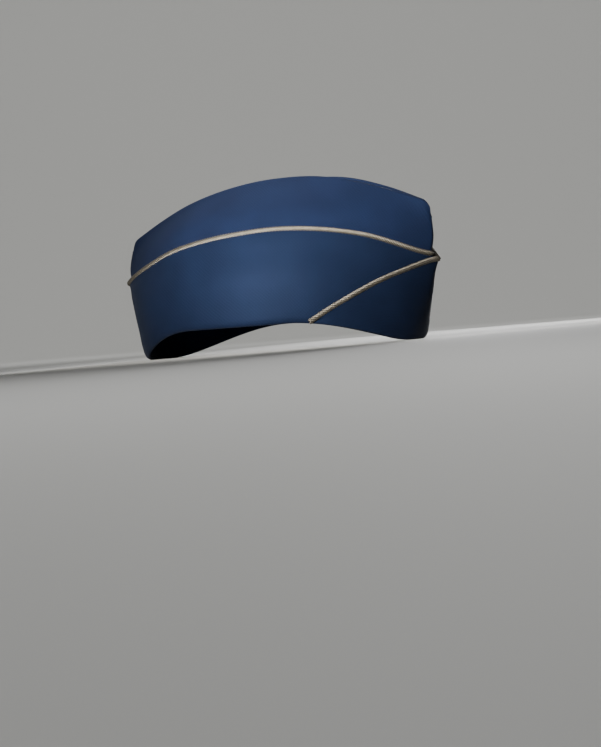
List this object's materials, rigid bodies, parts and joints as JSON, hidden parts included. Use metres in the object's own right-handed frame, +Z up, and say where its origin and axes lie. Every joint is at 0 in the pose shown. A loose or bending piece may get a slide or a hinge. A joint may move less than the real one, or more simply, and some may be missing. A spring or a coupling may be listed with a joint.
{
  "type": "garrison cap",
  "caption": "Folding cloth side cap with a creased top, a turned-up curtain that laps over at the brow, and metallic cord along its edge.",
  "frame": {"origin": "under the middle of the cap's length and width, on the plane it rests on", "axes": "+X towards the brow, +Y towards the wearer's left, +Z up"},
  "size_m": [0.2514, 0.1644, 0.1211],
  "materials": {
    "crown_cloth": "matte dark blue wool cloth",
    "curtain_cloth": "matte dark blue wool cloth, two plies",
    "metal_cord": "twisted metallic cord, silvery with a warm shadow side"
  },
  "bodies": {
    "root": {"crown_right": "crown_cloth", "crown_left": "crown_cloth", "crown_top": "crown_cloth", "curtain_right": "curtain_cloth", "curtain_left": "curtain_cloth", "piping_right": "metal_cord", "piping_left": "metal_cord"}
  },
  "joints": []
}
